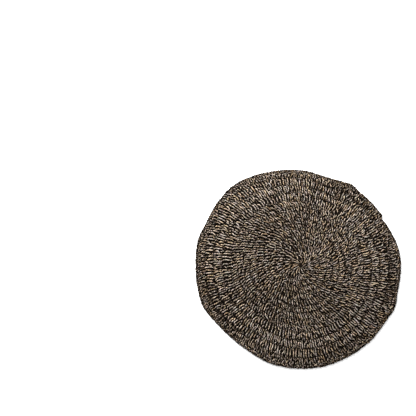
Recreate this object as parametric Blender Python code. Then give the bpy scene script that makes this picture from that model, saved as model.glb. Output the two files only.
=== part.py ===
"""A round rug crocheted in rounds from thick seagrass cord, lying flat on a floor.

The rug is one closed solid. Its underside is flat at z = 0, the middle of its first
round is at the origin, and each round stands up as a low ridge between two seams.
Bearings turn from +X towards +Y.
"""
import math

import bmesh
import bpy

# How high and how wide things are, in metres.
SEAM_HEIGHT = 0.0078  # the valley between two rounds
CREST_RISE = 0.0040  # how far a round stands above its seams
CENTRE_HEIGHT = 0.0062  # the dimple where the first round was drawn together
RIM_WIDTH = 0.0185  # the last cord, worked along the edging

# Rounds from the middle outwards, as (how many, height of one in metres).
ROUND_GROUPS = (
    (1, 0.0455),
    (7, 0.0316),
    (2, 0.0272),
    (3, 0.0412),
    (1, 0.0312),
)
ROUND_HEIGHTS = [height for count, height in ROUND_GROUPS for _ in range(count)]
MEAN_RADIUS = sum(ROUND_HEIGHTS) + RIM_WIDTH

# Section of one round, as (share of its height, share of CREST_RISE).
ROUND_SECTION = ((0.00, 0.00), (0.27, 0.92), (0.68, 1.00))
# Section of the rim cord, as (share of RIM_WIDTH, height in metres).
RIM_SECTION = (
    (0.00, 0.0078), (0.30, 0.0104), (0.72, 0.0096), (0.94, 0.0070), (1.00, 0.0040), (0.86, 0.0000),
)

# The uneven outline, as (bearing in degrees, radius in metres).
OUTLINE = (
    (0, 0.494), (10, 0.488), (18, 0.478), (26, 0.469), (40, 0.469), (52, 0.463), (64, 0.457),
    (76, 0.456), (85, 0.467), (97, 0.477), (110, 0.491), (120, 0.506), (131, 0.519),
    (146, 0.517), (156, 0.515), (166, 0.525), (178, 0.521), (192, 0.523), (203, 0.524),
    (213, 0.507), (224, 0.496), (239, 0.496), (252, 0.506), (268, 0.509), (283, 0.511),
    (298, 0.507), (312, 0.507), (325, 0.501), (347, 0.494),
)
# Small features on it, as (bearing, half width in degrees, reach in metres):
# the notch where the last round ends, and two corners.
RIM_FEATURES = ((30.0, 2.0, -0.0085), (57.5, 3.5, 0.0085), (337.0, 5.0, 0.0110))
FEATURE_FADE = 8  # they fade inwards with this power of the share of the radius

# Unevenness inside it, as (waves round the rug, phase in degrees, reach in metres).
# The single wave is how far the rounds lie off the middle of the first one.
SEAM_WANDER = ((1, 290, 0.0117), (2, 190, 0.0040), (3, 254, 0.0018), (7, 75, 0.0008))
WANDER_FADE = 8  # the seams stop wandering with this power, towards the middle and the rim cord
SWELLS = ((2, 15, 0.0005), (3, 200, 0.0004), (5, 95, 0.0004))
SWELL_TURN = 4.0  # how far a swell turns between the middle and the rim, in radians
CALM_SHARE = 0.25  # swells die away inside this share of the radius

# How many points a ring has, as (up to this share of the radius, points).
RING_POINTS = ((0.20, 36), (0.64, 72), (2.00, 144))

SEAGRASS_COLOUR = (0.105, 0.080, 0.058, 1.0)
SEAGRASS_ROUGHNESS = 0.85


def clear_scene():
    for item in list(bpy.data.objects):
        bpy.data.objects.remove(item, do_unlink=True)


def waves(table, bearing, turn=0.0):
    """The sum of a table of waves at a bearing in radians."""
    return sum(
        reach * math.sin(count * bearing + math.radians(phase) + turn)
        for count, phase, reach in table
    )


def outline_row(index):
    """A row of OUTLINE, which goes on round the rug at both ends."""
    turns, row = divmod(index, len(OUTLINE))
    return OUTLINE[row][0] + 360 * turns, OUTLINE[row][1]


def smooth_outline(degrees):
    """The radius at a bearing, on a smooth closed curve through OUTLINE."""
    last = max(i for i in range(len(OUTLINE)) if outline_row(i)[0] <= degrees)
    (b0, r0), (b1, r1), (b2, r2), (b3, r3) = (outline_row(last + k) for k in (-1, 0, 1, 2))
    span = b2 - b1
    t = (degrees - b1) / span
    slope_1 = (r2 - r0) / (b2 - b0) * span
    slope_2 = (r3 - r1) / (b3 - b1) * span
    return (
        (2 * t**3 - 3 * t**2 + 1) * r1
        + (t**3 - 2 * t**2 + t) * slope_1
        + (3 * t**2 - 2 * t**3) * r2
        + (t**3 - t**2) * slope_2
    )


def rim_feature(degrees):
    """How far the small features move the rim at a bearing."""
    return sum(
        reach * math.exp(-(((degrees - middle) / half_width) ** 2))
        for middle, half_width, reach in RIM_FEATURES
    )


def radius_at(bearing, share):
    """How far out a ring lies: circular near the middle, the outline's shape at the rim."""
    degrees = math.degrees(bearing) % 360
    ring = share * (MEAN_RADIUS + (smooth_outline(degrees) - MEAN_RADIUS) * share)
    ring += rim_feature(degrees) * share**FEATURE_FADE
    inside = min(1.0, share / (1 - RIM_WIDTH / MEAN_RADIUS))
    return ring + waves(SEAM_WANDER, bearing) * (1 - (2 * inside - 1) ** WANDER_FADE)


def rings():
    """Each ring of the upper face from the middle outwards, as (share of the radius, height)."""
    radius = 0.0
    for height in ROUND_HEIGHTS:
        for across, rise in ROUND_SECTION:
            if radius + across * height > 0:
                yield (radius + across * height) / MEAN_RADIUS, SEAM_HEIGHT + rise * CREST_RISE
        radius += height
    for across, height in RIM_SECTION:
        yield (radius + across * RIM_WIDTH) / MEAN_RADIUS, height


def ring_point(bearing, share, height):
    radius = radius_at(bearing, share)
    swell = waves(SWELLS, bearing, SWELL_TURN * share) * min(1.0, share / CALM_SHARE)
    lift = swell * height / SEAM_HEIGHT
    return radius * math.cos(bearing), radius * math.sin(bearing), height + lift


def add_ring(mesh, share, height):
    count = next(points for limit, points in RING_POINTS if share <= limit)
    return [mesh.verts.new(ring_point(math.tau * k / count, share, height)) for k in range(count)]


def join_rings(mesh, inner, outer):
    """Faces between two rings. The outer one has as many points as the inner, or twice as many."""
    count = len(inner)
    for k in range(count):
        a, b = inner[k], inner[(k + 1) % count]
        if len(outer) == count:
            mesh.faces.new((a, outer[k], outer[(k + 1) % count], b))
        else:
            c, d, e = (outer[(2 * k + step) % len(outer)] for step in range(3))
            mesh.faces.new((a, c, d))
            mesh.faces.new((a, d, b))
            mesh.faces.new((b, d, e))


def build_rug():
    mesh = bmesh.new()
    ring_list = [add_ring(mesh, share, height) for share, height in rings()]
    middle = mesh.verts.new((0.0, 0.0, CENTRE_HEIGHT))
    first = ring_list[0]
    for k in range(len(first)):
        mesh.faces.new((middle, first[k], first[(k + 1) % len(first)]))
    for inner, outer in zip(ring_list, ring_list[1:]):
        join_rings(mesh, inner, outer)
    mesh.faces.new(reversed(ring_list[-1]))
    data = bpy.data.meshes.new("rug")
    mesh.to_mesh(data)
    mesh.free()
    data.shade_smooth()
    data.set_sharp_from_angle(angle=math.radians(50))
    rug = bpy.data.objects.new("rug", data)
    bpy.context.collection.objects.link(rug)
    return rug


def seagrass_material():
    material = bpy.data.materials.new("seagrass")
    material.use_nodes = True
    shader = material.node_tree.nodes["Principled BSDF"]
    shader.inputs["Base Color"].default_value = SEAGRASS_COLOUR
    shader.inputs["Roughness"].default_value = SEAGRASS_ROUGHNESS
    shader.inputs["Metallic"].default_value = 0.0
    return material


clear_scene()
build_rug().data.materials.append(seagrass_material())
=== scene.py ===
"""The looks of a round seagrass rug, crocheted in rounds from a natural and a black cord held together.

Every stitch is real cord. In each round the pair of cords climbs the face as a leg, turns over the top
of the round, and runs back under the rug to the next stitch, so both faces of the rug are crochet. A
thin dark core between the two faces stands for the inner turns of cord, which hardly show: its
near-black colour is painted shade that fills the gaps between the stitches.
Lengths are in metres. Bearings turn from +X towards +Y, and are in turns where nothing else is said.
"""

import math

import bpy
import numpy as np
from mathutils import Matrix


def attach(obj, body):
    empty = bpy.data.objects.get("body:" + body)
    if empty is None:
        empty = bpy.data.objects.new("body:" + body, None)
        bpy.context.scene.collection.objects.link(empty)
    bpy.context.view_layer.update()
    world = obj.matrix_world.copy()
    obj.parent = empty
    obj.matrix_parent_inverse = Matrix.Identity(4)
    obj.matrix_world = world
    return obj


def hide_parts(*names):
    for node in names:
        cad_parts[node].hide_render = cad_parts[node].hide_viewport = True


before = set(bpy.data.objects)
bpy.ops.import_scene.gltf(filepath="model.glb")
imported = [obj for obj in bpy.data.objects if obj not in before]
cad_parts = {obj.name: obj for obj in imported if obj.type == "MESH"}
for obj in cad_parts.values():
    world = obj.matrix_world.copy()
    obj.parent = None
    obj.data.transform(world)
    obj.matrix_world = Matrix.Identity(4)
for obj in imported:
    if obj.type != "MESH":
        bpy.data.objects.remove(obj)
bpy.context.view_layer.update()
DICE = np.random.default_rng(16)

# The cord: two plies twisted round each other.
CORD_RADIUS = 0.0023
CORD_SIDES = 8
PLIES = 2
PLY_SWELL = 0.28  # how far each ply stands out of the cord, as a share of its radius
LAY = 0.024  # the length in which the plies go once round each other

# How a cord differs along it, as (spread, values in a stitch, how many of them keep close together).
THICKNESS_NOISE = (0.07, 3, 1)
TONE_NOISE = (0.065, 8, 0.8)
HUE_NOISE = (1.0, 4, 0.8)
HUE_RANGE = (-0.8, 2.0)  # how much greyer and redder a stretch of cord can be
MIDDLE_TONE = 0.5

# The pair of cords.
PAIR_REACH = 0.0026  # from the middle of the pair to the middle of each cord
PAIR_SQUASH = 0.80  # how much of that reach is left where one cord lies on the other
PAIR_WIDTH = 4.2  # the room that a pair takes, in radii of a cord
SQUEEZE_LIMIT = 0.45  # the least that is left of a cord's thickness where the stitches crowd
TURN_LENGTH = 0.26  # the share of a stitch in which the two cords go once round each other
TURN_STARTS = (0.0, 0.32)  # where in a stitch that can start
SAME_WAY = 0.50  # the share of those turns that go the same way
TURN_SPREAD, TURN_VALUES = 0.30, 4  # radians off side by side elsewhere, and values of it in a stitch

# One stitch of the pair, at twelve even steps: how far it has gone round the rug in stitch widths,
# how far out it is between the seams of its round, its height from the underside to the face,
# and which way its outer side faces, in degrees from straight up towards the rim.
STITCH = (
    (0.00, 0.03, 0.42, -90),
    (0.00, 0.11, 0.80, -40),
    (0.00, 0.28, 0.96, -12),
    (0.01, 0.50, 1.00, 0),
    (0.03, 0.72, 0.98, 12),
    (0.12, 0.89, 0.88, 30),
    (0.40, 0.97, 0.70, 60),
    (0.68, 0.94, 0.42, 105),
    (0.82, 0.77, 0.08, 162),
    (0.90, 0.50, 0.00, 180),
    (0.97, 0.24, 0.03, 195),
    (1.00, 0.07, 0.14, 225),
)
# How much of the lean of its leg the stitch has at each of those steps.
LEAN_CLIMB = (0, 0, 0.25, 0.5, 0.8, 1, 1, 0.8, 0.5, 0.3, 0.1, 0)
BACK_HEIGHT = 0.0031  # the middle of the pair on the underside
FACE_DEPTH = 0.0036  # how far the middle of the pair lies under the top of its round
FACE_POINTS, FACE_STEPS = 0.70, 0.58  # this share of a stitch's points lies on this share of its steps

# How stitches differ, in stitch widths round the rug and in shares of the round out and up.
WIDTH_SPREAD = 0.06  # how much the width of a stitch differs from round to round
DRIFT, DRIFT_REACH = 0.4, 6  # how far the stitches of a round crowd and thin out, and over how many
LEAN_DRIFT, LEAN_REACH = 0.12, 4  # how much their lean differs slowly, and over how many
LEAN_SPREAD, FOOT_SPREAD = 0.10, 0.10  # how much the lean and the foot differ from stitch to stitch
# Which steps of STITCH differ sideways, outwards and in height, and how much.
SIDEWAYS, SIDEWAYS_SPREAD = slice(2, 8), 0.08
OUTWARDS, OUTWARDS_SPREAD = slice(4, 8), 0.04
UPWARDS, UPWARDS_MIDDLE, UPWARDS_SPREAD = slice(1, 7), -0.06, 0.08

# Kinds of round from the middle outwards: how many, width of a stitch, points in it, how many stitch
# widths a leg goes sideways on its way out, the share of stitches in which one cord goes round the
# other, and how much lighter the cords are painted at the inner seam, in the middle and at the outer
# seam: painted light and shade across a round.
ROUNDS = (
    (1, 0.0120, 17, 0.45, 0.60, (-0.25, -0.05, 0.25)),
    (1, 0.0120, 14, 0.45, 0.62, (-0.05, 0.00, -0.15)),
    (3, 0.0120, 14, 0.60, 0.68, (-0.15, -0.05, 0.10)),
    (3, 0.0120, 14, 0.57, 0.60, (-0.05, -0.02, -0.12)),
    (2, 0.0120, 14, 0.57, 0.55, (0.00, -0.02, 0.04)),
    (3, 0.0120, 16, 0.04, 0.60, (-0.06, 0.15, 0.00)),
    (1, 0.0118, 15, 0.10, 0.85, (-0.20, -0.12, 0.14)),
    (1, 0.0110, 12, 0.60, 1.00, (0.15, -0.35, -0.20)),
)

# Pale spots on the cords, as (x, y).
PALE_SPOTS = (
    (0.292, 0.071), (0.302, 0.032), (0.243, -0.022), (0.243, 0.155), (0.213, -0.150), (0.026, -0.323),
)
PALE_REACH, PALE_SHARE = 0.0042, 0.45  # how far one reaches, and how much of its colour is pale
# A darker and redder patch near the rim, as (x, y, reach).
BROWN_PATCH = (0.415, -0.269, 0.030)
BROWN_DARKER, BROWN_REDDER = 0.12, 1.8

# Where the stitches of the rim stand out further, as (bearing and half width in degrees, reach): the
# top right, the last stitches before the notch, and the lower right.
RIM_STITCHES = ((60.0, 9.0, 0.0065), (32.3, 1.6, 0.0075), (331.5, 4.5, 0.0045))

# The frame's mesh, and how finely its rounds are read.
SPOKES = 144
GRID = 720
FACE_ABOVE = 0.002
CENTRE = 0.003  # the form's middle point lies inside this radius
MIDDLE_RING = 0.0080  # the ring that the first round is worked into

# The core: a thin dark sheet between the two faces, painted shade where the inside shows between the
# stitches.
CORE_LOW, CORE_HIGH = 0.0048, 0.0064
CORE_INSET = 0.007  # how far it stays inside the rim
CORE_SPOKES = 144

# Strips of the picture that the cords are laid out on.
STRIP_GAP = 0.06  # the share of a strip that is left empty on each side
STRIP_END = 0.002  # and the share of the picture at each end


def around(values, turns):
    """A smooth closed curve through evenly spaced values, read at any number of turns."""
    count = len(values)
    at = np.asarray(turns) % 1.0 * count
    whole = np.floor(at).astype(int)
    t = at - whole
    a, b, c, d = (values[(whole + step) % count] for step in (-1, 0, 1, 2))
    return b + 0.5 * t * (c - a + t * (2 * a - 5 * b + 4 * c - d + t * (3 * (b - c) + d - a)))


def read_rings(node):
    """The rings of the rug's upper face from the middle outwards, each as (radii, heights) round it."""
    places = np.array([vertex.co for vertex in node.data.vertices])
    places = np.unique(places.round(6), axis=0)
    radius = np.hypot(places[:, 0], places[:, 1])
    upper = (places[:, 2] > FACE_ABOVE) & (radius > CENTRE)
    places, radius = places[upper], radius[upper]
    spoke = np.round(np.arctan2(places[:, 1], places[:, 0]) / math.tau * SPOKES).astype(int) % SPOKES
    rings = []
    for s in range(SPOKES):
        here = np.flatnonzero(spoke == s)
        for ring, point in enumerate(here[np.argsort(-radius[here])]):
            if ring == len(rings):
                rings.append([])
            rings[ring].append((radius[point], places[point, 2]))
    return [np.array(ring).T for ring in reversed(rings)]


def read_form(node):
    """The radius of each seam and the height of the crest outside it, at GRID bearings."""
    rings = read_rings(node)
    height = np.array([heights.mean() for _, heights in rings])
    valleys = [i for i in range(1, len(rings) - 1) if height[i] < min(height[i - 1], height[i + 1])]
    bearings = np.arange(GRID) / GRID
    middle = np.full(GRID, MIDDLE_RING)
    edge = around(rings[-1][0], bearings) - CORD_RADIUS
    for bearing, half_width, reach in RIM_STITCHES:
        edge = edge + reach * np.exp(-((bearings - bearing / 360) / (half_width / 360)) ** 2)
    seams = [middle, *(around(rings[i][0], bearings) for i in valleys), edge]
    crests = []
    for inner, outer in zip([0, *valleys], [*valleys, len(rings)]):
        top = inner + int(np.argmax(height[inner:outer]))
        crests.append(around(rings[top][1], bearings))
    return np.array(seams), np.array(crests)


SEAMS, CRESTS = read_form(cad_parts["rug"])


def on_grid(table, row, turns):
    """A table of rows by bearings, read between both."""
    row = np.clip(row, 0, len(table) - 1)
    low = np.minimum(np.floor(row).astype(int), len(table) - 2)
    at = turns % 1.0 * GRID
    left = np.floor(at).astype(int) % GRID
    right, share = (left + 1) % GRID, at - np.floor(at)
    inner = table[low, left] * (1 - share) + table[low, right] * share
    outer = table[low + 1, left] * (1 - share) + table[low + 1, right] * share
    return inner + (outer - inner) * (row - low)


def unit(vectors):
    return vectors / np.linalg.norm(vectors, axis=-1, keepdims=True)


def along(points):
    """The direction of a closed line at each of its points."""
    return unit(np.roll(points, -1, axis=0) - np.roll(points, 1, axis=0))


def slow_noise(count, reach):
    """Closed noise of spread 1 that hardly differs between neighbours nearer than reach."""
    rough = DICE.normal(0.0, 1.0, count)
    steps = np.minimum(np.arange(count), count - np.arange(count))
    kernel = np.exp(-((steps / reach) ** 2))
    smooth = np.fft.irfft(np.fft.rfft(rough) * np.fft.rfft(kernel), count)
    return smooth / smooth.std()


def cord_noise(count, phase, spread, values, reach):
    """Noise along the cord of a round, read at each phase."""
    return spread * around(slow_noise(count * values, reach), phase / count)


def stitch_phases(count, samples):
    """Where the points of a round lie, in stitches. They are closer together on the face."""
    within = np.interp(np.arange(samples) / samples, (0, FACE_POINTS, 1), (0, FACE_STEPS, 1))
    return (np.arange(count)[:, None] + within).ravel()


def stitch_steps(count, lean):
    """The steps of every stitch in a round, each a little off STITCH, and how far each stitch has
    drifted. Their first and last columns count from an even walk and an even turn."""
    gone = np.arange(len(STITCH)) / len(STITCH)
    stitch = np.array(STITCH, float)
    stitch[:, 0] -= gone
    stitch[:, 3] = np.radians(stitch[:, 3]) - gone * math.tau
    steps = np.tile(stitch, (count, 1, 1))
    lean = lean + slow_noise(count, LEAN_REACH) * LEAN_DRIFT + DICE.normal(0.0, LEAN_SPREAD, count)
    foot = DICE.normal(0.0, FOOT_SPREAD, count)
    drift = slow_noise(count, DRIFT_REACH) * DRIFT
    climb = np.array(LEAN_CLIMB)
    steps[:, :, 0] += lean[:, None] * climb + foot[:, None] * (1 - climb)
    steps[:, SIDEWAYS, 0] += DICE.normal(0.0, SIDEWAYS_SPREAD, steps[:, SIDEWAYS, 0].shape)
    steps[:, OUTWARDS, 1] += DICE.normal(0.0, OUTWARDS_SPREAD, count)[:, None]
    steps[:, UPWARDS, 2] += DICE.normal(UPWARDS_MIDDLE, UPWARDS_SPREAD, steps[:, UPWARDS, 2].shape)
    return steps.reshape(-1, 4), drift


def pair_line(number, count, phase, lean):
    """The middle line of the pair of cords in one round, the way its outer side faces, how high it
    would be on the face, and how far out it is between the seams."""
    steps, drift = stitch_steps(count, lean)
    across, out, level, facing = (around(steps[:, k], phase / count) for k in range(4))
    turns = (phase + across + around(drift, phase / count)) / count
    facing = facing + phase * math.tau
    seam = number - 1 + out
    radius = on_grid(SEAMS, seam, turns)
    top = on_grid(CRESTS, seam - 0.5, turns) - FACE_DEPTH
    height = BACK_HEIGHT + level * (top - BACK_HEIGHT)
    angle = turns * math.tau
    outward = np.stack([np.cos(angle), np.sin(angle), 0 * angle], -1)
    upward = np.array([0, 0, 1])
    points = outward * radius[:, None] + upward * height[:, None]
    outside = outward * np.sin(facing)[:, None] + upward * np.cos(facing)[:, None]
    return points, outside, top, out


def pair_turn(count, phase, wraps):
    """How far the two cords are turned about each other along a round, in radians: side by side, but
    in some stitches one cord goes once round the other."""
    turned = around(DICE.normal(0.0, TURN_SPREAD, count * TURN_VALUES), phase / count)
    for place in np.flatnonzero(DICE.random(count) < wraps):
        way = 1 if DICE.random() < SAME_WAY else -1
        start = place + DICE.uniform(*TURN_STARTS)
        share = np.clip((phase - start) / TURN_LENGTH, 0.0, 1.0)
        turned -= way * math.tau * share * share * (3 - 2 * share)
    return turned


def cord_squeeze(points, count):
    """How much of its thickness each cord keeps, where the stitches crowd near the middle."""
    room = np.hypot(points[:, 0], points[:, 1]) * math.tau / count
    return np.clip(room / (PAIR_WIDTH * CORD_RADIUS), SQUEEZE_LIMIT, 1.0)


def nearness(points, x, y, reach):
    """1 at a spot on the rug, falling to 0 around it."""
    return np.exp(-((points[:, 0] - x) ** 2 + (points[:, 1] - y) ** 2) / reach**2)


def crochet_round(number, width, samples, lean, wraps, painted_shades, material):
    """One round of stitches, from seam number - 1 to seam number, worked with a natural and a black
    cord held together."""
    middle = on_grid(SEAMS, np.full(GRID, number - 0.5), np.arange(GRID) / GRID).mean()
    count = round(math.tau * middle / width * (1 + DICE.normal(0.0, WIDTH_SPREAD)))
    phase = stitch_phases(count, samples)
    points, outside, top, out = pair_line(number, count, phase, lean)
    turned = pair_turn(count, phase, wraps)
    squeeze = cord_squeeze(points, count)
    ahead = along(points)
    side = unit(np.cross(outside, ahead))
    over = np.cross(ahead, side)
    offset = side * np.cos(turned)[:, None] + over * (PAIR_SQUASH * np.sin(turned))[:, None]
    offset *= (PAIR_REACH * squeeze)[:, None]
    cords = []
    for dye in (0.0, 1.0):
        line = points - (1 - 2 * dye) * offset
        thickness = squeeze * (1 + cord_noise(count, phase, *THICKNESS_NOISE))
        line[:, 2] = np.maximum(line[:, 2], CORD_RADIUS * (1 + PLY_SWELL) * thickness)
        brown = nearness(line, *BROWN_PATCH)
        pale = sum(nearness(line, x, y, PALE_REACH) for x, y in PALE_SPOTS)
        tone = MIDDLE_TONE + cord_noise(count, phase, *TONE_NOISE) - BROWN_DARKER * brown
        # Painted light and shade across the round, from the inner seam to the outer.
        tone += np.interp(out, np.linspace(0, 1, len(painted_shades)), painted_shades)
        hue = np.clip(cord_noise(count, phase, *HUE_NOISE), *HUE_RANGE) + BROWN_REDDER * brown
        # The cord's height over the core: it gives painted shade where the cord lies low, and the pale
        # spots fade there.
        lift = np.clip((line[:, 2] - CORE_HIGH) / (top - CORE_HIGH), 0, 1)
        values = {
            "dye": np.full(len(line), dye), "tone": tone, "hue": hue, "lift": lift,
            "pale": PALE_SHARE * pale * lift,
        }
        cords.append((line, outside, thickness, values))
    return add_piece(cord_mesh(f"round_{number:02d}", cords), material)


def cord_tube(points, outside, thickness):
    """A closed tube of twisted plies along a closed line: its vertices, its faces, and at each corner
    of a face how far along the cord it is and how far round."""
    rings, sides = len(points), CORD_SIDES
    steps = np.linalg.norm(np.roll(points, -1, axis=0) - points, axis=1)
    length = np.concatenate([[0.0], np.cumsum(steps)])
    length *= round(length[-1] / LAY) * LAY / length[-1]  # so that the plies meet at its end
    ahead = along(points)
    side = unit(np.cross(outside, ahead))
    over = np.cross(ahead, side)
    i, j = np.meshgrid(np.arange(rings), np.arange(sides), indexing="ij")
    girth = j / sides * math.tau
    swell = 1 - PLY_SWELL * np.cos(PLIES * (girth + length[i] / LAY * math.tau))
    ring = np.cos(girth)[..., None] * side[:, None] + np.sin(girth)[..., None] * over[:, None]
    vertices = points[:, None] + ring * (swell * (CORD_RADIUS * thickness)[:, None])[..., None]
    after, beside = (i + 1) % rings, (j + 1) % sides
    quads = [i * sides + j, i * sides + beside, after * sides + beside, after * sides + j]
    lengths = np.stack([length[i], length[i], length[i + 1], length[i + 1]], -1)
    girths = np.stack([j, j + 1, j + 1, j], -1) / sides
    return vertices.reshape(-1, 3), np.stack(quads, -1).reshape(-1, 4), lengths, girths


def strip_layout(lengths, girths):
    """Cords laid out as strips that fill a square image, for the part's own pictures."""
    total = sum(length.max() for length in lengths)
    strips = max(1, round(math.sqrt(total / (math.tau * CORD_RADIUS))))
    longest = math.ceil(sum(len(length) for length in lengths) / strips)
    layout, used = [], 0
    for girth in girths:
        step = np.arange(len(girth))
        strip, at = used + step // longest, step % longest
        u = (at[:, None, None] + np.array([0, 0, 1, 1])) / longest
        v = strip[:, None, None] + STRIP_GAP + girth * (1 - 2 * STRIP_GAP)
        layout.append((np.broadcast_to(u, v.shape), v))
        used = strip[-1] + 1
    u = np.concatenate([u.ravel() for u, _ in layout])
    v = np.concatenate([v.ravel() for _, v in layout]) / used
    return STRIP_END + u * (1 - 2 * STRIP_END), v


def cord_mesh(name, cords):
    """A mesh of several closed cords, each as (points, the way the outer side faces, thickness, values
    of its attributes)."""
    vertices, quads, lengths, girths, attributes = [], [], [], [], []
    start = 0
    for points, outside, thickness, values in cords:
        tube, corners, length, girth = cord_tube(points, outside, thickness)
        vertices.append(tube)
        quads.append(corners + start)
        lengths.append(length)
        girths.append(girth)
        attributes.append(values)
        start += len(tube)
    mesh = bpy.data.meshes.new(name)
    fill_mesh(mesh, np.concatenate(vertices), np.concatenate(quads))
    flat = (np.concatenate([part.ravel() for part in parts]) for parts in (lengths, girths))
    add_map(mesh, "cord", *flat)
    add_map(mesh, "OFBake", *strip_layout(lengths, girths))
    for key in attributes[0]:
        layer = mesh.attributes.new(key, "FLOAT", "POINT")
        of_vertices = np.concatenate([np.repeat(values[key], CORD_SIDES) for values in attributes])
        layer.data.foreach_set("value", of_vertices.astype(np.float32))
    return mesh


def fill_mesh(mesh, vertices, quads):
    mesh.vertices.add(len(vertices))
    mesh.vertices.foreach_set("co", vertices.astype(np.float32).ravel())
    mesh.loops.add(quads.size)
    mesh.loops.foreach_set("vertex_index", quads.astype(np.int32).ravel())
    mesh.polygons.add(len(quads))
    mesh.polygons.foreach_set("loop_start", np.arange(0, quads.size, 4, dtype=np.int32))
    mesh.update(calc_edges=True)
    mesh.polygons.foreach_set("use_smooth", np.ones(len(quads), bool))


def add_map(mesh, name, u, v):
    layer = mesh.uv_layers.new(name=name, do_init=False)
    layer.uv.foreach_set("vector", np.stack([u, v], -1).astype(np.float32).ravel())


def add_object(name, data):
    made = bpy.data.objects.new(name, data)
    bpy.context.scene.collection.objects.link(made)
    return made


def add_piece(mesh, material):
    """A piece of the rug, which has the mesh's name."""
    piece = add_object(mesh.name, mesh)
    mesh.materials.append(material)
    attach(piece, "root")
    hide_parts("rug")
    return piece


def crochet_rounds(material):
    made = []
    for how_many, *kind in ROUNDS:
        for _ in range(how_many):
            made.append(crochet_round(len(made) + 1, *kind, material))
    return made


def core_sheet(material):
    """The core as rings of points, outwards along its upper side and back along its lower side."""
    turns = np.arange(CORE_SPOKES) / CORE_SPOKES
    seams = np.array([on_grid(SEAMS, np.full(CORE_SPOKES, row), turns) for row in range(1, len(SEAMS))])
    radius = seams * (1 - CORE_INSET / seams[-1])
    radius = np.concatenate([radius, radius[::-1]])
    height = np.repeat([CORE_HIGH, CORE_LOW], len(seams))[:, None] + 0 * radius
    angle = turns * math.tau
    points = np.stack([radius * np.cos(angle), radius * np.sin(angle), height], -1).reshape(-1, 3)
    top, bottom, last = len(points), len(points) + 1, len(points) - CORE_SPOKES
    faces = []
    for k in range(CORE_SPOKES):
        beside = (k + 1) % CORE_SPOKES
        faces += [(top, k, beside), (bottom, last + beside, last + k)]
        for ring in range(0, last, CORE_SPOKES):
            after = ring + CORE_SPOKES
            faces.append((ring + k, after + k, after + beside, ring + beside))
    mesh = bpy.data.meshes.new("rug_core")
    mesh.from_pydata([*points.tolist(), (0, 0, CORE_HIGH), (0, 0, CORE_LOW)], [], faces)
    mesh.update()
    return add_piece(mesh, material)


# Colours of the cords, as (shade, (red, green, blue)), and of the pale spots.
NATURAL = (
    (0.00, (0.0200, 0.0138, 0.0094)),
    (0.20, (0.0600, 0.0432, 0.0302)),
    (0.52, (0.1880, 0.1460, 0.1115)),
    (1.00, (0.4100, 0.3430, 0.2790)),
)
BLACK = (
    (0.00, (0.0002, 0.0001, 0.0001)),
    (0.55, (0.0009, 0.0006, 0.0005)),
    (1.00, (0.0080, 0.0064, 0.0050)),
)
PALE = (0.62, 0.58, 0.52, 1.0)

# Noise on a cord, as (changes in a metre of it, changes round it, detail, roughness).
FIBRE_NOISE = (70.0, 3.2, 4.0, 0.65)
FLECK_NOISE = (160.0, 0.8, 1.0, 0.5)
TINT_NOISE = (110.0, 0.7, 1.0, 0.5)
BLACK_SHIFT = 7.0  # how much further along the noise the black cord lies

# What makes a cord lighter, as (the value where it changes nothing, how much it changes above that).
STREAKS = (0.5, 1.1)  # of the fibre noise
FLECKS = (0.5, 2.8)  # of the fleck noise
# Painted shade in the groove between two plies, and a little painted light on each crown.
GROOVE_SHADE = (0.8, 1.10)  # of the height over the groove between two plies
# Painted shade: darker where a cord lies low towards the seams.
PAINTED_LOW_SHADE = (0.8, 0.30)  # of the height over the core
CROWN_POWER = 0.45  # less than 1, so that a ply is round and its groove narrow
PLY_TONE = 0.10  # how much lighter one ply can be than the mean of both
PLY_EDGE = 3.0  # how sharply it gives way to the other
PLY_CHANGE = 41.0  # how fast its tone changes along a cord, in radians for each metre
PLY_CHANGE_MIDDLE, PLY_CHANGE_REACH = 0.6, 0.4  # the share of PLY_TONE that it goes up and down round
TINTS = (0.60, 0.15, 0.95)  # how much red, green and blue differ along and across a cord
REDDER = (0.055, 0.0, -0.09)  # and how a redder stretch of cord differs

# Surfaces.
SPECULAR = 0.006
FIBRE_RELIEF = 0.35  # the height of the fibres against that of a ply
BUMP_STRENGTH, BUMP_HEIGHT = 0.8, 0.0008
CORD_ROUGHNESS, FIBRE_ROUGHNESS = 0.60, 0.25  # of a cord where the fibre noise is 0, and how it grows
# The core's near-black colours are painted shade.
CORE_COLOURS = ((0.35, (0.0006, 0.0004, 0.0003)), (0.75, (0.0130, 0.0090, 0.0064)))
CORE_GRAIN, CORE_DETAIL = 160.0, 3.0
CORE_ROUGHNESS = 0.9


def new_material(name):
    material = bpy.data.materials.new(name)
    material.use_nodes = True
    return material, material.node_tree, material.node_tree.nodes["Principled BSDF"]


def feed(tree, socket, value):
    """Link another node's output to a socket, or set the socket to a constant."""
    if isinstance(value, bpy.types.NodeSocket):
        tree.links.new(value, socket)
    else:
        socket.default_value = value


def calculate(tree, kind, operation, values):
    made = tree.nodes.new(kind)
    made.operation = operation
    for socket, value in zip(made.inputs, values):
        feed(tree, socket, value)
    return made.outputs[0]


def maths(tree, operation, *values):
    return calculate(tree, "ShaderNodeMath", operation, values)


def vector_maths(tree, operation, *values):
    return calculate(tree, "ShaderNodeVectorMath", operation, values)


def above(tree, value, middle, strength):
    """How far a value is above its middle, times a strength."""
    return maths(tree, "MULTIPLY", maths(tree, "SUBTRACT", value, middle), strength)


def vector(tree, *parts):
    made = tree.nodes.new("ShaderNodeCombineXYZ")
    for socket, part in zip(made.inputs, parts):
        tree.links.new(part, socket)
    return made.outputs[0]


def noise(tree, place, scale, detail, roughness=0.5):
    """A noise node, which has a value and a colour as its outputs."""
    made = tree.nodes.new("ShaderNodeTexNoise")
    made.inputs["Scale"].default_value = scale
    made.inputs["Detail"].default_value = detail
    made.inputs["Roughness"].default_value = roughness
    tree.links.new(place, made.inputs["Vector"])
    return made.outputs


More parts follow.
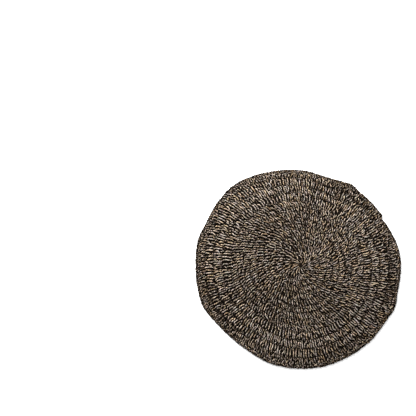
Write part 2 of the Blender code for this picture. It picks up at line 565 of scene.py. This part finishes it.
def ramp(tree, value, stops):
    made = tree.nodes.new("ShaderNodeValToRGB")
    while len(made.color_ramp.elements) < len(stops):
        made.color_ramp.elements.new(0.5)
    for element, (at, colour) in zip(made.color_ramp.elements, stops):
        element.position = at
        element.color = (*colour, 1.0)
    tree.links.new(value, made.inputs[0])
    return made.outputs[0]


def attribute(tree, name):
    made = tree.nodes.new("ShaderNodeAttribute")
    made.attribute_name = name
    return made.outputs["Fac"]


def mix_colour(tree, share, first, second):
    made = tree.nodes.new("ShaderNodeMix")
    made.data_type = "RGBA"
    for socket, value in zip((made.inputs[0], made.inputs[6], made.inputs[7]), (share, first, second)):
        feed(tree, socket, value)
    return made.outputs[2]


def cord_places(tree):
    """How far along a cord a point is, and how far round it in turns, as the map says."""
    layout = tree.nodes.new("ShaderNodeUVMap")
    layout.uv_map = "cord"
    split = tree.nodes.new("ShaderNodeSeparateXYZ")
    tree.links.new(layout.outputs[0], split.inputs[0])
    return split.outputs[0], split.outputs[1]


def ply_crown(tree, twist):
    """0 in the groove between two plies, and 1 on the crown of each."""
    passed = maths(tree, "MULTIPLY", twist, PLIES)
    crown = maths(tree, "MULTIPLY", maths(tree, "PINGPONG", passed, 0.5), 2.0)
    return maths(tree, "POWER", crown, CROWN_POWER)


def ply_tone(tree, length, up):
    """How much lighter one ply is than the other, which changes along the cord."""
    ply = maths(tree, "MULTIPLY", maths(tree, "TANH", maths(tree, "MULTIPLY", up, PLY_EDGE)), PLY_TONE)
    change = maths(tree, "SINE", maths(tree, "MULTIPLY", length, PLY_CHANGE))
    change = maths(tree, "MULTIPLY", change, PLY_CHANGE_REACH)
    return maths(tree, "MULTIPLY", ply, maths(tree, "ADD", change, PLY_CHANGE_MIDDLE))


def tinted(tree, colour, tint, hue):
    """A colour that differs a little with the colour of a noise, and is redder with the hue."""
    tint = vector_maths(tree, "SUBTRACT", tint, (0.5, 0.5, 0.5))
    tint = vector_maths(tree, "MULTIPLY_ADD", tint, TINTS, (1.0, 1.0, 1.0))
    redder = vector_maths(tree, "MULTIPLY", vector(tree, hue, hue, hue), REDDER)
    return vector_maths(tree, "MULTIPLY", colour, vector_maths(tree, "ADD", tint, redder))


def cord_material():
    """Twisted seagrass: two plies with a groove between them, streaked and flecked along their fibres,
    with painted shade in the grooves and where the cord lies low.
    """
    material, tree, shader = new_material("seagrass_cord")
    length, girth = cord_places(tree)
    dye, tone, hue, lift, pale = (attribute(tree, name) for name in ("dye", "tone", "hue", "lift", "pale"))
    twist = maths(tree, "ADD", girth, maths(tree, "DIVIDE", length, LAY))
    angle = maths(tree, "MULTIPLY", twist, math.tau)
    across, up = maths(tree, "COSINE", angle), maths(tree, "SINE", angle)
    shifted = maths(tree, "ADD", length, maths(tree, "MULTIPLY", dye, BLACK_SHIFT))

    def cord_grain(rate, spread, detail, roughness):
        scales = ((shifted, rate), (across, spread), (up, spread))
        place = vector(tree, *(maths(tree, "MULTIPLY", part, scale) for part, scale in scales))
        return noise(tree, place, 1.0, detail, roughness)

    fibre, fleck = cord_grain(*FIBRE_NOISE)[0], cord_grain(*FLECK_NOISE)[0]
    tint = cord_grain(*TINT_NOISE)[1]
    crown = ply_crown(tree, twist)
    shade = maths(tree, "ADD", tone, ply_tone(tree, length, up))
    # The crown and lift parts are painted shade in the grooves and where a cord lies low.
    for value, effect in ((fibre, STREAKS), (fleck, FLECKS), (crown, GROOVE_SHADE), (lift, PAINTED_LOW_SHADE)):
        shade = maths(tree, "ADD", shade, above(tree, value, *effect))
    colour = mix_colour(tree, dye, ramp(tree, shade, NATURAL), ramp(tree, shade, BLACK))
    colour = mix_colour(tree, pale, colour, PALE)
    tree.links.new(tinted(tree, colour, tint, hue), shader.inputs["Base Color"])
    bump = tree.nodes.new("ShaderNodeBump")
    bump.inputs["Strength"].default_value = BUMP_STRENGTH
    bump.inputs["Distance"].default_value = BUMP_HEIGHT
    relief = maths(tree, "ADD", crown, maths(tree, "MULTIPLY", fibre, FIBRE_RELIEF))
    tree.links.new(relief, bump.inputs["Height"])
    tree.links.new(bump.outputs[0], shader.inputs["Normal"])
    dry = maths(tree, "ADD", maths(tree, "MULTIPLY", fibre, FIBRE_ROUGHNESS), CORD_ROUGHNESS)
    tree.links.new(dry, shader.inputs["Roughness"])
    shader.inputs["Specular IOR Level"].default_value = SPECULAR
    return material


# The core's material: painted shade, near black, with a little grain.
def core_material():
    material, tree, shader = new_material("inner_cord_shade")
    place = tree.nodes.new("ShaderNodeTexCoord").outputs["Object"]
    grain = noise(tree, place, CORE_GRAIN, CORE_DETAIL)[0]
    tree.links.new(ramp(tree, grain, CORE_COLOURS), shader.inputs["Base Color"])
    shader.inputs["Roughness"].default_value = CORE_ROUGHNESS
    shader.inputs["Specular IOR Level"].default_value = SPECULAR
    return material


# The stage.
METRES_A_PIXEL = 0.00493  # from the width of a stitch in the photograph
PHOTO_WIDTH = 416
PHOTO_MIDDLE = (208.0, 208.0)
RUG_MIDDLE = (300.8, 265.5)  # where the first round lies in the photograph
LENS, SENSOR = 85.0, 36.0  # in millimetres
FLOOR_REACH = 60.0
FLOOR_COLOUR = (0.96, 0.96, 0.96, 1.0)
FLOOR_ROUGHNESS = 0.9
KEY_PLACE, KEY_SIZE, KEY_POWER = (-1.0, 2.0, 1.5), 0.9, 255.0
WORLD_COLOUR, WORLD_STRENGTH = (1.0, 1.0, 1.0, 1.0), 1.0


def add_camera():
    """A camera straight above, which sees the rug where the photograph has it."""
    data = bpy.data.cameras.new("camera")
    data.lens, data.sensor_width = LENS, SENSOR
    camera = add_object("camera", data)
    x = (PHOTO_MIDDLE[0] - RUG_MIDDLE[0]) * METRES_A_PIXEL
    y = (RUG_MIDDLE[1] - PHOTO_MIDDLE[1]) * METRES_A_PIXEL
    camera.location = (x, y, PHOTO_WIDTH * METRES_A_PIXEL * LENS / SENSOR)
    bpy.context.scene.camera = camera


def add_floor():
    mesh = bpy.data.meshes.new("floor")
    corners = [(x * FLOOR_REACH, y * FLOOR_REACH, 0) for x, y in ((-1, -1), (1, -1), (1, 1), (-1, 1))]
    mesh.from_pydata(corners, [], [(0, 1, 2, 3)])
    material, _, shader = new_material("floor")
    shader.inputs["Base Color"].default_value = FLOOR_COLOUR
    shader.inputs["Roughness"].default_value = FLOOR_ROUGHNESS
    mesh.materials.append(material)
    add_object("floor", mesh)


def add_key_light():
    data = bpy.data.lights.new("key", "AREA")
    data.shape, data.size, data.energy = "DISK", KEY_SIZE, KEY_POWER
    light = add_object("key", data)
    light.location = KEY_PLACE
    light.rotation_mode = "QUATERNION"
    light.rotation_quaternion = (-light.location).to_track_quat("-Z", "Y")


def add_world():
    world = bpy.data.worlds.new("studio")
    world.use_nodes = True
    background = world.node_tree.nodes["Background"]
    background.inputs["Color"].default_value = WORLD_COLOUR
    background.inputs["Strength"].default_value = WORLD_STRENGTH
    bpy.context.scene.world = world


add_camera()
add_floor()
add_key_light()
add_world()
bpy.context.scene.view_settings.view_transform = "Standard"

cords = crochet_rounds(cord_material())
core_sheet(core_material())
